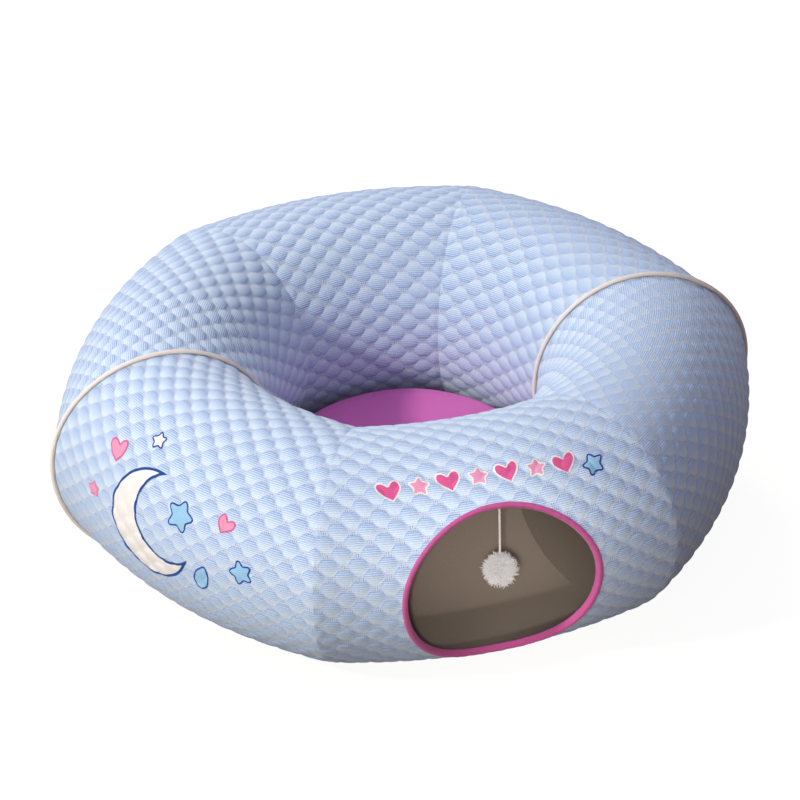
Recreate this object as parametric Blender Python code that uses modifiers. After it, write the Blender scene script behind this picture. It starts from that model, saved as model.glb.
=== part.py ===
"""Ring-shaped fabric pet tunnel with a bound entrance, a hanging pompom toy and a lift-out mat.

Six padded gores make the ring. Each gore is a cover, a foam sheet and a lining, one inside
the other. All of them are cut from one surface: wall_point gives the place of a point at a
ring angle, at an angle round the tube, and at a depth below the outside of the cover.

Metres, +Z up. The origin is the centre of the ring on the floor, and the entrance faces -Y.
"""

from math import atan2, cos, hypot, pi, radians, sin, sqrt

import bmesh
import bpy
from mathutils import Matrix, Vector

# Driving dimensions of the ring
RING_WIDTH = 0.600  # outside, from seam to seam
HOLE_WIDTH = 0.2294  # centre hole, from seam to seam
RIDGE_WIDTH = 0.4064  # circle along which the tube is highest
TUBE_HEIGHT = 0.1880
WAIST_HEIGHT = 0.0971  # height at which the tube is widest
FLOOR_PRESS = 0.0015  # how far the floor presses the underside flat
GORES = 6
OUTER_ROUND_SHARE = 0.593  # how round the outer wall is in plan, between straight (0) and a circle (1)
INNER_ROUND_SHARE = 0.667
CROWN_SHARE = 0.024  # how much higher a gore stands at its middle than at its seams

# Layers of the wall
COVER_THICKNESS = 0.0025
FOAM_THICKNESS = 0.0025
LINING_THICKNESS = 0.0008
TOUCH_GAP = 0.0003

# Entrance, an egg in front view, measured at the binding's outer edge
ENTRANCE_WIDTH = 0.1660
ENTRANCE_BELOW_CROWN = 0.0255  # from the top of the tube down to the top of the entrance
ENTRANCE_WAIST = 0.0935
ENTRANCE_BOTTOM = 0.0100
ENTRANCE_GORE = 0
BINDING_LAP = 0.0040
BINDING_THICKNESS = 0.0008
BINDING_SLACK = 0.0024  # the inner lap stands this far off the lining
CUT_GAP = 0.0004

# Piping on two seams
PIPING_DIAMETER = 0.0035
PIPING_STEM_WIDTH = 0.0010
PIPING_LIFT = 0.0019  # centre of the bead above the cover

# Spring hoops inside the piped seams
HOOP_WIRE_DIAMETER = 0.0020
HOOP_CLEARANCE = 0.0005
SLEEVE_THICKNESS = 0.0007
SLEEVE_FLANGE_WIDTH = 0.0050

# Toy
TOY_OFFSET = 0.0060  # to the right of the entrance's middle
TOY_DROP = 0.0608  # from the knot's centre to the pompom's centre
STRING_DIAMETER = 0.0020
KNOT_DIAMETER = 0.0026
POMPOM_DIAMETER = 0.0310
TAB_WIDTH = 0.0060
TAB_LENGTH = 0.0080
TAB_THICKNESS = 0.0008
TAB_RISE = 0.0005  # the tab's foot above the level of the entrance's top

# Mat
MAT_CLEARANCE = 0.0077  # all round, to the narrowest place of the hole
MAT_RIM_HEIGHT = 0.0575
MAT_CROWN = 0.0030
MAT_EDGE_RADIUS = 0.0100
MAT_WAIST_BULGE = 0.0015
MAT_COVER_THICKNESS = 0.0015
MAT_BASE_THICKNESS = 0.0012

# How finely round shapes are divided
GORE_STEPS = 4
TUBE_STEPS = 24
ENTRANCE_STEPS = 40
MAT_STEPS = 36
ARC_STEPS = 3
BEAD_STEPS = 8
POMPOM_COLUMNS = 20
POMPOM_ROWS = 12
KNOT_COLUMNS = 12
KNOT_ROWS = 8
STRING_LINK_SHARE = 3  # length of one link of the string, in string diameters
SMOOTH_BELOW = radians(50)

GORE_ANGLE = 2 * pi / GORES
PIPED_SEAMS = {"right": 0.0, "left": pi}
RIDGE_RADIUS = RIDGE_WIDTH / 2
OUT_REACH = RING_WIDTH / 2 - RIDGE_RADIUS
IN_REACH = RIDGE_RADIUS - HOLE_WIDTH / 2
TOP_REACH = TUBE_HEIGHT - WAIST_HEIGHT
LOW_REACH = WAIST_HEIGHT + FLOOR_PRESS
ENTRANCE_TOP = TUBE_HEIGHT - ENTRANCE_BELOW_CROWN
MAT_DIAMETER = HOLE_WIDTH - 2 * MAT_CLEARANCE
FOAM_DEPTH = COVER_THICKNESS + TOUCH_GAP
LINING_DEPTH = FOAM_DEPTH + FOAM_THICKNESS + TOUCH_GAP
WALL_DEPTH = LINING_DEPTH + LINING_THICKNESS
TAB_DEPTH = WALL_DEPTH + BINDING_SLACK + BINDING_THICKNESS + TOUCH_GAP
PIPED_HALF_GAP = PIPING_STEM_WIDTH / 2 + TOUCH_GAP
CUTTER_REACH = 0.030  # how far the entrance cutter runs past the wall on each side

# Unit shape from which the layers are bent: a ring tube of radius 2 with a wall from 0.5 to 1
UNIT_RING = 2.0
UNIT_OUTER = 1.0
UNIT_INNER = 0.5


def wall_point(turn, around, depth, half_gap=0.0):
    """Place of a wall point in a gore whose middle lies on +X.

    turn runs from -1 at one seam to 1 at the other, around is the angle round the tube from
    its outer side over the top, and depth is the distance below the cover's outside.
    """
    out = (OUT_REACH if cos(around) > 0 else IN_REACH) - depth
    up = (TOP_REACH if sin(around) > 0 else LOW_REACH) - depth
    at_seam = RIDGE_RADIUS + out * cos(around)
    angle = turn * (GORE_ANGLE / 2 - half_gap / at_seam)
    outward = (at_seam - HOLE_WIDTH / 2) / (OUT_REACH + IN_REACH)
    roundness = INNER_ROUND_SHARE + (OUTER_ROUND_SHARE - INNER_ROUND_SHARE) * outward
    straight = cos(GORE_ANGLE / 2) / cos(angle)
    radius = at_seam * ((1 - roundness) * straight + roundness)
    crown = 1 + CROWN_SHARE * cos(pi * angle / GORE_ANGLE)
    height = WAIST_HEIGHT + up * sin(around) * crown
    return Vector((radius * cos(angle), radius * sin(angle), max(height, depth)))


def on_outer_wall(across, height):
    """The turn and the angle round the tube where the cover's outside has this place in front view."""
    turn = 0.0
    for _ in range(ENTRANCE_STEPS):
        angle = turn * GORE_ANGLE / 2
        crown = 1 + CROWN_SHARE * cos(pi * angle / GORE_ANGLE)
        reach = TOP_REACH if height > WAIST_HEIGHT else LOW_REACH
        rise = (height - WAIST_HEIGHT) / (reach * crown)
        around = atan2(rise, sqrt(1 - rise * rise))
        radius = hypot(*wall_point(turn, around, 0.0).xy)
        turn = atan2(across, sqrt(radius**2 - across**2)) / (GORE_ANGLE / 2)
    return turn, around


def entrance_point(angle, inset, depth):
    """Place on the egg of the entrance, at a depth below the cover's outside.

    The egg is drawn in by inset along the wall, so by less in height where the wall leans.
    """
    half_width = ENTRANCE_WIDTH / 2 - inset
    edge = ENTRANCE_TOP if sin(angle) > 0 else ENTRANCE_BOTTOM
    lean = cos(on_outer_wall(0.0, edge)[1])
    half_height = abs(edge - ENTRANCE_WAIST) - inset * lean
    turn, around = on_outer_wall(half_width * cos(angle), ENTRANCE_WAIST + half_height * sin(angle))
    return wall_point(turn, around, depth)


def collection(name):
    made = bpy.data.collections.new(name)
    bpy.context.scene.collection.children.link(made)
    return made


def material(name, colour, roughness, metallic=0.0):
    made = bpy.data.materials.new(name)
    made.use_nodes = True
    shader = made.node_tree.nodes["Principled BSDF"]
    shader.inputs["Base Color"].default_value = (*colour, 1.0)
    shader.inputs["Roughness"].default_value = roughness
    shader.inputs["Metallic"].default_value = metallic
    made.diffuse_color = (*colour, 1.0)
    return made


def add(name, mesh, finish, turned=0.0, place=(0.0, 0.0, 0.0), group=None):
    made = bpy.data.objects.new(name, mesh)
    (group or PARTS).objects.link(made)
    made.location = place
    made.rotation_euler.z = turned
    if not mesh.materials:
        mesh.materials.append(finish)
    return made


def mesh_of(bm, name):
    bmesh.ops.recalc_face_normals(bm, faces=bm.faces)
    mesh = bpy.data.meshes.new(name)
    bm.to_mesh(mesh)
    bm.free()
    mesh.shade_smooth()
    mesh.set_sharp_from_angle(angle=SMOOTH_BELOW)
    return mesh


def unit_circle(bm, radius):
    """A circle round the middle of the unit tube's wall, upright on +X."""
    upright = Matrix.Translation((UNIT_RING, 0, 0)) @ Matrix.Rotation(pi / 2, 4, "X")
    level = Matrix.Rotation(pi / TUBE_STEPS, 4, "Z")
    return bmesh.ops.create_circle(bm, segments=TUBE_STEPS, radius=radius, matrix=upright @ level)["verts"]


def on_unit_tube(place):
    """The turn and the angle round the tube of a place on the unit shape, and whether it is inside."""
    from_ring = hypot(place.x, place.y) - UNIT_RING
    inside = hypot(place.z, from_ring) < (UNIT_OUTER + UNIT_INNER) / 2
    return 2 * atan2(place.y, place.x) / GORE_ANGLE - 1, atan2(place.z, from_ring), inside


def split_flats(bm):
    """Every flat is parted along the same slant, so that nested layers stay parallel."""
    for face in bm.faces[:]:
        turn, around, _ = on_unit_tube(face.calc_center_median())
        slant = []
        for vert in face.verts:
            vert_turn, vert_around, _ = on_unit_tube(vert.co)
            if (vert_turn - turn) * sin(vert_around - around) > 1 / (GORE_STEPS * TUBE_STEPS) ** 2:
                slant.append(vert)
        if len(slant) == 2:
            bmesh.utils.face_split(face, *slant)


def layer_mesh(name, depth, thickness, low_gap, high_gap):
    """One layer of one gore: a unit ring section swept from seam to seam and bent to the wall."""
    bm = bmesh.new()
    outer = unit_circle(bm, UNIT_OUTER)
    inner = unit_circle(bm, UNIT_INNER)
    for i in range(TUBE_STEPS):
        j = (i + 1) % TUBE_STEPS
        bm.faces.new((outer[i], outer[j], inner[j], inner[i]))
    section = [*bm.verts, *bm.edges, *bm.faces]
    bmesh.ops.spin(bm, geom=section, axis=(0, 0, 1), cent=(0, 0, 0), angle=GORE_ANGLE, steps=GORE_STEPS)
    split_flats(bm)
    for vert in bm.verts:
        turn, around, inside = on_unit_tube(vert.co)
        half_gap = low_gap if turn < 0 else high_gap
        vert.co = wall_point(turn, around, depth + thickness * inside, half_gap)
    return mesh_of(bm, name)


def egg_angles():
    return [2 * pi * step / ENTRANCE_STEPS for step in range(ENTRANCE_STEPS)]


def entrance_cutter():
    """A plug through the outer wall along the entrance's cut edge, lofted from level to level."""
    bm = bmesh.new()
    depths = (-CUTTER_REACH, -CUT_GAP, WALL_DEPTH + CUT_GAP, WALL_DEPTH + CUTTER_REACH)
    rings = [
        [bm.verts.new(entrance_point(angle, BINDING_LAP, depth)) for angle in egg_angles()]
        for depth in depths
    ]
    middle = on_outer_wall(0.0, ENTRANCE_WAIST)
    tips = [bm.verts.new(wall_point(*middle, depth)) for depth in (depths[0], depths[-1])]
    for i in range(ENTRANCE_STEPS):
        j = (i + 1) % ENTRANCE_STEPS
        for ring, after in zip(rings, rings[1:]):
            bm.faces.new((ring[i], ring[j], after[j], after[i]))
        for tip, ring in zip(tips, (rings[0], rings[-1])):
            bm.faces.new((tip, ring[i], ring[j]))
    cutter = add("entrance_cutter", mesh_of(bm, "entrance_cutter"), None, -pi / 2, group=CUTTERS)
    cutter.hide_render = True
    cutter.display_type = "WIRE"
    return cutter


def cut(target, cutter):
    modifier = target.modifiers.new("entrance", "BOOLEAN")
    modifier.operation = "DIFFERENCE"
    modifier.solver = "EXACT"
    modifier.object = cutter


def make_walls(cutter):
    layers = {
        "cover": (0.0, COVER_THICKNESS, PIPED_HALF_GAP, KNIT),
        "foam": (FOAM_DEPTH, FOAM_THICKNESS, TOUCH_GAP / 2, FOAM),
        "lining": (LINING_DEPTH, LINING_THICKNESS, TOUCH_GAP / 2, LINING),
    }
    for layer, (depth, thickness, piped_gap, finish) in layers.items():
        for gore in range(GORES):
            middle = -pi / 2 + gore * GORE_ANGLE
            gaps = []
            for seam in (middle - GORE_ANGLE / 2, middle + GORE_ANGLE / 2):
                piped = any(abs(sin((seam - at) / 2)) < sin(GORE_ANGLE / 4) for at in PIPED_SEAMS.values())
                gaps.append(piped_gap if piped else TOUCH_GAP / 2)
            name = f"{layer}_{gore + 1}"
            wall = add(name, layer_mesh(name, depth, thickness, *gaps), finish, middle)
            if gore == ENTRANCE_GORE:
                cut(wall, cutter)


def seam_point(around, across, depth):
    """Place over a seam on the +X axis, and across it along the first flat of the gore on that side."""
    place = wall_point(1.0, around, depth)
    flat = wall_point(1.0 - 2 / GORE_STEPS, around, depth) - place
    place += flat.normalized() * abs(across)
    place.rotate(Matrix.Rotation(-GORE_ANGLE / 2, 3, "Z"))
    place.y = -place.y if across > 0 else place.y
    return place


def swept_mesh(name, profile, place, angles, closed):
    """A closed profile carried round by place(angle, point), with flat ends where it isn't a loop."""
    bm = bmesh.new()
    rings = [[bm.verts.new(place(angle, point)) for point in profile] for angle in angles]
    pairs = list(zip(rings, rings[1:] + rings[:1])) if closed else list(zip(rings, rings[1:]))
    for first, second in pairs:
        for i in range(len(profile)):
            j = (i + 1) % len(profile)
            bm.faces.new((first[i], first[j], second[j], second[i]))
    if not closed:
        bm.faces.new(rings[0])
        bm.faces.new(rings[-1])
    return mesh_of(bm, name)


def tube_angles():
    """The angles round the tube at which the layers have their edges."""
    return [2 * pi * (step + 1 / 2) / TUBE_STEPS for step in range(TUBE_STEPS)]


def piping_profile():
    """A round bead on a stem, as (across, height above the cover's outside) points."""
    radius = PIPING_DIAMETER / 2
    half_stem = PIPING_STEM_WIDTH / 2
    start = -pi / 2 + atan2(half_stem, sqrt(radius**2 - half_stem**2))
    sweep = 2 * (pi / 2 - start)
    bead = [
        (
            radius * cos(start + sweep * step / BEAD_STEPS),
            PIPING_LIFT + radius * sin(start + sweep * step / BEAD_STEPS),
        )
        for step in range(BEAD_STEPS + 1)
    ]
    return bead + [(-half_stem, -COVER_THICKNESS), (half_stem, -COVER_THICKNESS)]


def make_piping():
    """The bead stops on each side where its underside meets the floor."""
    rise = (WAIST_HEIGHT - PIPING_DIAMETER / 2) / (LOW_REACH + PIPING_LIFT)
    lowest = -atan2(rise, sqrt(1 - rise * rise))
    between = [angle for angle in tube_angles() if angle < pi - lowest or angle > 2 * pi + lowest]
    inner = [angle - 2 * pi if angle > pi * 3 / 2 else angle for angle in between]
    angles = sorted({lowest, *(angle for angle in inner if lowest < angle < pi - lowest), pi - lowest})

    def place(around, point):
        across, above = point
        at = seam_point(around, 0.0, -above)
        return Vector((at.x, across, at.z))

    for side, turned in PIPED_SEAMS.items():
        name = f"piping_{side}"
        add(name, swept_mesh(name, piping_profile(), place, angles, closed=False), PIPING, turned)


def make_hoops():
    """A closed ring of spring wire under the lining, and the sleeve that holds it."""
    radius = HOOP_WIRE_DIAMETER / 2
    flat = WALL_DEPTH + TOUCH_GAP
    wire_depth = flat + HOOP_CLEARANCE + radius
    half_channel = radius + HOOP_CLEARANCE
    roof = wire_depth + radius + HOOP_CLEARANCE
    outer = half_channel + SLEEVE_THICKNESS
    reach = outer + SLEEVE_FLANGE_WIDTH
    right_half = [
        (reach, flat),
        (reach, flat + SLEEVE_THICKNESS),
        (outer, flat + SLEEVE_THICKNESS),
        (outer, roof + SLEEVE_THICKNESS),
    ]
    channel = [(-half_channel, flat), (-half_channel, roof), (half_channel, roof), (half_channel, flat)]
    left_half = [(-across, depth) for across, depth in reversed(right_half)]
    profile = right_half + left_half + channel
    wire = [
        (radius * cos(2 * pi * step / BEAD_STEPS), wire_depth + radius * sin(2 * pi * step / BEAD_STEPS))
        for step in range(BEAD_STEPS)
    ]

    def on_wall(around, point):
        return seam_point(around, *point)

    def upright(around, point):
        at = seam_point(around, 0.0, point[1])
        return Vector((at.x, point[0], at.z))

    for side, turned in PIPED_SEAMS.items():
        name = f"hoop_{side}"
        add(name, swept_mesh(name, wire, upright, tube_angles(), closed=True), STEEL, turned)
        name = f"hoop_sleeve_{side}"
        add(name, swept_mesh(name, profile, on_wall, tube_angles(), closed=True), LINING, turned)


def make_binding():
    """A tape folded over the cut edge: a lap outside, a web in the cut and a lap inside."""
    web = BINDING_LAP + CUT_GAP
    edge = web + BINDING_THICKNESS
    outside = -TOUCH_GAP
    inside = WALL_DEPTH + BINDING_SLACK
    profile = [
        (0.0, outside - BINDING_THICKNESS),
        (edge, outside - BINDING_THICKNESS),
        (edge, inside + BINDING_THICKNESS),
        (0.0, inside + BINDING_THICKNESS),
        (0.0, inside),
        (web, inside),
        (web, outside),
        (0.0, outside),
    ]

    def place(angle, point):
        return entrance_point(angle, *point)

    mesh = swept_mesh("entrance_binding", profile, place, egg_angles(), closed=True)
    add("entrance_binding", mesh, BINDING, -pi / 2)


def make_tab():
    """A short strip sewn to the lining above the binding. Returns the place of the knot on its foot."""
    bm = bmesh.new()
    bmesh.ops.create_cube(bm, size=1.0)

    def place(across, along, depth):
        turn, around = on_outer_wall(across, ENTRANCE_TOP + TAB_RISE + along)
        return wall_point(turn, around, TAB_DEPTH + depth)

    for vert in bm.verts:
        share = vert.co + Vector((1, 1, 1)) / 2
        across = TOY_OFFSET + TAB_WIDTH * vert.co.x
        vert.co = place(across, TAB_LENGTH * share.y, TAB_THICKNESS * share.z)
    add("toy_tab", mesh_of(bm, "toy_tab"), BINDING, -pi / 2)
    knot_depth = TAB_THICKNESS + TOUCH_GAP + KNOT_DIAMETER / 2
    return Matrix.Rotation(-pi / 2, 3, "Z") @ place(TOY_OFFSET, 0.0, knot_depth)


def ball(name, diameter, columns, rows):
    bm = bmesh.new()
    bmesh.ops.create_uvsphere(bm, u_segments=columns, v_segments=rows, radius=diameter / 2)
    return mesh_of(bm, name)


def make_toy():
    """The knot turns about its own centre, and the string and the pompom hang from it."""
    swing = bpy.data.objects.new("toy_swing", None)
    swing.location = make_tab()
    swing.empty_display_size = KNOT_DIAMETER
    PARTS.objects.link(swing)
    knot = add("toy_knot", ball("toy_knot", KNOT_DIAMETER, KNOT_COLUMNS, KNOT_ROWS), STRING)
    knot.parent = swing

    top = -KNOT_DIAMETER / 2 - TOUCH_GAP
    low = -TOY_DROP + POMPOM_DIAMETER / 2 + TOUCH_GAP
    count = round((top - low) / (STRING_LINK_SHARE * STRING_DIAMETER)) + 1
    spine = bpy.data.curves.new("toy_string", "CURVE")
    spine.dimensions = "3D"
    spine.bevel_depth = STRING_DIAMETER / 2
    spine.bevel_resolution = 2
    spine.use_fill_caps = True
    line = spine.splines.new("POLY")
    line.points.add(count - 1)
    for i, point in enumerate(line.points):
        point.co = (0, 0, top + (low - top) * i / (count - 1), 1)
    string = add("toy_string", spine, STRING)
    string.parent = swing

    fluff = ball("pompom", POMPOM_DIAMETER, POMPOM_COLUMNS, POMPOM_ROWS)
    pompom = add("pompom", fluff, FLUFF, place=(0, 0, -TOY_DROP))
    pompom.parent = swing


def turned_mesh(name, outline, finish):
    """A profile that runs from the axis out and back to the axis, turned about Z."""
    mesh = bpy.data.meshes.new(name)
    points = [(radius, 0, height) for radius, height in outline]
    mesh.from_pydata(points, [(i, i + 1) for i in range(len(points) - 1)], [])
    made = add(name, mesh, finish)
    screw = made.modifiers.new("turn", "SCREW")
    screw.steps = screw.render_steps = MAT_STEPS
    screw.use_merge_vertices = True
    screw.merge_threshold = TOUCH_GAP / 10
    screw.use_smooth_shade = True
    return made


def mat_outline(radius, rim, crown, low, edge):
    """Crowned top, rounded edge and gently swollen side, from the axis to the foot of the side."""
    top = [(0.0, rim + crown)]
    for step in range(1, ARC_STEPS):
        share = step / ARC_STEPS
        top.append(((radius - edge) * share, rim + crown * (1 - share * share)))
    bends = [pi / 2 * step / ARC_STEPS for step in range(ARC_STEPS + 1)]
    corner = [(radius - edge + edge * sin(bend), rim - edge + edge * cos(bend)) for bend in bends]
    waist = [(radius + MAT_WAIST_BULGE, (rim - edge + low) / 2)]
    return top + corner + waist + [(radius, low)]


def make_mat():
    """A cover over a foam core, closed below by the non-slip base."""
    radius = MAT_DIAMETER / 2 - MAT_WAIST_BULGE
    base_top = MAT_BASE_THICKNESS
    cover_foot = base_top + TOUCH_GAP
    skin = MAT_COVER_THICKNESS
    outside = mat_outline(radius, MAT_RIM_HEIGHT, MAT_CROWN, cover_foot, MAT_EDGE_RADIUS)
    inside = mat_outline(
        radius - skin, MAT_RIM_HEIGHT - skin, MAT_CROWN, cover_foot, MAT_EDGE_RADIUS - skin
    )
    turned_mesh("mat_cover", outside + inside[::-1], MAT)

    hollow = skin + TOUCH_GAP
    core = mat_outline(
        radius - hollow, MAT_RIM_HEIGHT - hollow, MAT_CROWN, cover_foot, MAT_EDGE_RADIUS - hollow
    )
    turned_mesh("mat_core", core + [(0.0, cover_foot)], FOAM)
    turned_mesh("mat_base", [(0.0, base_top), (radius, base_top), (radius, 0.0), (0.0, 0.0)], MAT_BASE)


for thing in list(bpy.data.objects):
    bpy.data.objects.remove(thing, do_unlink=True)

PARTS = collection("pet_tunnel")
CUTTERS = collection("cutters")

KNIT = material("light_blue_knit", (0.47, 0.60, 0.86), 0.85)
FOAM = material("white_foam", (0.86, 0.85, 0.80), 0.90)
LINING = material("taupe_lining", (0.20, 0.16, 0.13), 0.90)
PIPING = material("cream_piping", (0.83, 0.75, 0.66), 0.80)
BINDING = material("magenta_binding", (0.58, 0.10, 0.31), 0.70)
STRING = material("cream_string", (0.80, 0.74, 0.66), 0.85)
FLUFF = material("off_white_fluff", (0.62, 0.59, 0.56), 0.95)
MAT = material("magenta_mat", (0.60, 0.13, 0.44), 0.80)
MAT_BASE = material("grey_non_slip", (0.10, 0.10, 0.11), 0.90)
STEEL = material("spring_steel", (0.55, 0.56, 0.58), 0.35, 1.0)

make_walls(entrance_cutter())
make_piping()
make_hoops()
make_binding()
make_toy()
make_mat()
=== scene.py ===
"""Pet tunnel on its frame: a ring of six quilted gores, a bound entrance, a pompom toy and a round mat."""

from math import cos, pi, radians, sin

import bmesh
import bpy
import numpy as np
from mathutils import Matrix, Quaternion, Vector


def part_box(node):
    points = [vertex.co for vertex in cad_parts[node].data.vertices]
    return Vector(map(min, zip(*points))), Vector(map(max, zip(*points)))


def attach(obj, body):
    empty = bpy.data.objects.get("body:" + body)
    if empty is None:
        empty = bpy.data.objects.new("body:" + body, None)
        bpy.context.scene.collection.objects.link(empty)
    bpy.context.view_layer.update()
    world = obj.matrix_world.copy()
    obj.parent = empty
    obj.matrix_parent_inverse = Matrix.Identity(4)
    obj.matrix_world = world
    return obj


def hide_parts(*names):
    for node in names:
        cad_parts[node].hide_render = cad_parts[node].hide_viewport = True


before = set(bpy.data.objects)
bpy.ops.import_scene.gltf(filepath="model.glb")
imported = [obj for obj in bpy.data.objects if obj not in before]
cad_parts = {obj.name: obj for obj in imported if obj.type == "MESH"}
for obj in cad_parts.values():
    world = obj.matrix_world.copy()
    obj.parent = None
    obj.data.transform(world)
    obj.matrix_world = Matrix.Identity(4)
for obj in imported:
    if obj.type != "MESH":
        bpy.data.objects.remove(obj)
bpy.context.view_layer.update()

# Ring, as on the frame
RING_WIDTH = 0.600
HOLE_WIDTH = 0.2294
RIDGE_RADIUS = 0.2032
TUBE_HEIGHT = 0.1880
WAIST_HEIGHT = 0.0971
FLOOR_PRESS = 0.0015
GORES = 6
GORE_ANGLE = 2 * pi / GORES
OUTER_ROUND_SHARE = 0.593
INNER_ROUND_SHARE = 0.667
CROWN_SHARE = 0.024
OUT_REACH = RING_WIDTH / 2 - RIDGE_RADIUS
IN_REACH = RIDGE_RADIUS - HOLE_WIDTH / 2
TOP_REACH = TUBE_HEIGHT - WAIST_HEIGHT
LOW_REACH = WAIST_HEIGHT + FLOOR_PRESS
COVER_THICKNESS = 0.0025
FOAM_DEPTH, FOAM_THICKNESS = 0.0028, 0.0025
LINING_DEPTH, LINING_THICKNESS = 0.0056, 0.0008
WALL_DEPTH = LINING_DEPTH + LINING_THICKNESS
FRONT_GORE, SIDE_GORE = 0, 5
PIPED_GAP = 0.0003
PIPED_GORES = {2: (1, 0), 1: (0, 1), 4: (0, 1), 5: (1, 0)}  # gore: piping on its low and its high seam
PIPED_SEAMS = (("right", 0.0), ("left", pi))  # and how far each seam is turned from +X

# Entrance
ENTRANCE_HALF = 0.0830
ENTRANCE_TOP = 0.1625
ENTRANCE_WAIST = 0.0935
ENTRANCE_BOTTOM = 0.0100
BINDING_LAP = 0.0040
PINCH = 0.5  # how much thinner the wall is under the binding
PINCH_FULL, PINCH_END = 0.92, 1.30  # egg shares between which that fades out
FOOT_INSIDE, FOOT_OUTSIDE = 0.216, 0.236  # below the waist it sets in between these distances from the axis
PUFFS_FROM, PUFFS_FULL = 1.0, 1.11  # egg shares between which the puffs rise beside the binding
GATHER = 0.00018

# Piping
PIPING_RADIUS = 0.00175
PIPING_RISE = 0.0019  # from the cover to the bead's middle
PIPING_STEM_HALF = 0.0005
PIPING_OPEN = 0.3  # half of the bead's angle that its stem takes up

# Toy: the string's and the ball's heights are from the point they swing about
PIVOT = np.array((0.00581, -0.24902, 0.15408))
STRING_TOP, STRING_END = -0.0016, -0.0450
STRING_RADIUS = 0.0010
STRING_TWIST = 0.0042
KNOT_RADIUS = 0.0013
KNOT_STRAND_RADIUS = 0.00042
TAB_LENGTH = 0.0080
TAB_MIDDLE, TAB_HALF_WIDTH, TAB_HALF_THICKNESS = 0.0060, 0.0030, 0.0004
TAB_DEPTH = WALL_DEPTH + 0.0035
POMPOM_DROP, POMPOM_RADIUS, POMPOM_CORE = 0.0608, 0.0155, 0.0030
STRAND_RADIUS = 0.00038

# Mat
MAT_RADIUS = 0.1070
MAT_RIM = 0.0575
MAT_CROWN = 0.0030
MAT_EDGE = 0.0100
MAT_FOOT = 0.0015  # height at which cover and core stop
MAT_SWELL = 0.0015  # how far the side stands out halfway up
MAT_COVER_THICKNESS = 0.0015
MAT_CORE_INSET = 0.0018
MAT_BASE_RADIUS, MAT_BASE_TOP, MAT_BASE_BEVEL = 0.1055, 0.0012, 0.0002
MAT_HOLLOWS = 0.0006
MAT_TOP_STEPS = 40

# Knit: rows of puffs in columns, every second column half a step along
COLUMN = 0.0113
PITCH = 0.0185
PUFF_REACH = 0.0066
PUFF_NARROW, PUFF_TAPER = 1.05, 0.16  # a puff is this much narrower, and more so away from the hole
PUFF_STRETCH = 0.92 * sin(pi / 3)
PUFF_POWER = 7
PUFF_LEAN = (0.93, 1.06)  # puffs reach further along one diagonal than along the other
PUFF_HEIGHT = 0.0013
PUFF_SINK = 0.0004
PUFF_FOOT = 1.04  # edge distance at which a puff ends
PUFF_BEND, PUFF_DOME = 2.4, 0.8  # powers inside and outside its profile
PUFF_MIDDLE, PUFF_TILT = 0.70, 0.34  # height share at its middle, and the gain from there towards the hole
RIB = 0.00175
STROKE = 0.00165
SEAM_FLAT, SEAM_SPREAD = 0.8, 0.0020  # how much flatter the puffs are in a seam, and how far from it
CLEAR = 0.0001

# Prints
PRINT_LIFT = 0.00035
PRINT_LINE = 0.0013
SMALL_MOTIF, SMALL_LINE_SHARE = 0.008, 0.6
CRESCENT_LINE_SHARE = 1.7
PRINT_ROW = 0.0009

# Colours as they look, from 0 to 255
# The puff ramp is the knit's pale blue with painted shade across each puff, darker blue on its hole side.
PUFF_SHADE_RAMP = (
    (0.0, (172, 198, 226)), (0.14, (195, 218, 238)), (0.45, (206, 226, 241)), (0.75, (214, 231, 242)),
    (1.0, (213, 229, 239)),
)
# The lip blue is painted shade along each puff's edge on the hole side.
RIB_BLUE, PAINTED_LIP_SHADE = (128, 156, 203), (120, 148, 195)
GROUND_PALE, GROUND_BLUE = (190, 210, 230), (144, 168, 210)
NECK_PALE, STROKE_GREY = (190, 205, 226), (78, 80, 102)
SPECK_DARK, SPECK_LIGHT = (110, 132, 176), (255, 255, 252)
SKY_WARM, SKY_COOL = (255, 196, 160), (214, 224, 255)

# Camera, solved from the corners of the seams
VIEW_AZIMUTH, VIEW_ELEVATION, VIEW_ROLL = radians(-15.32), radians(31.47), radians(-1.45)
VIEW_DISTANCE = 3.508
SENSOR_WIDTH, LENS_LENGTH = 36.0, 188.7  # in millimetres
LENS_SHIFT = (-0.0070, 0.0118)

# Studio
FLOOR_REACH, FLOOR_DROP = 12.0, 0.0002
FLOOR_COLOUR, FLOOR_GLOW = (0.10, 0.082, 0.072, 1), 0.93
SKY_LEVEL, SKY_GAIN = 0.22, 0.33
HORIZON, ZENITH = 0.05, 0.85


# Camera and light

def aim(thing, target, roll=0.0):
    """Turns a lamp or the camera so that it looks at target."""
    way = Vector(target) - thing.location
    turn = way.to_track_quat("-Z", "Y") @ Quaternion((0, 0, 1), roll)
    thing.rotation_euler = turn.to_euler()


def make_camera():
    """A long lens at the photograph's viewing angle, aimed at the ring's axis at the height of the tube's
    waist."""
    lens = bpy.data.cameras.new("camera")
    lens.sensor_width, lens.lens = SENSOR_WIDTH, LENS_LENGTH
    lens.shift_x, lens.shift_y = LENS_SHIFT
    camera = bpy.data.objects.new("camera", lens)
    bpy.context.scene.collection.objects.link(camera)
    level = cos(VIEW_ELEVATION) * VIEW_DISTANCE
    height = WAIST_HEIGHT + sin(VIEW_ELEVATION) * VIEW_DISTANCE
    camera.location = (sin(VIEW_AZIMUTH) * level, -cos(VIEW_AZIMUTH) * level, height)
    aim(camera, (0, 0, WAIST_HEIGHT), VIEW_ROLL)
    bpy.context.scene.camera = camera


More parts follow.
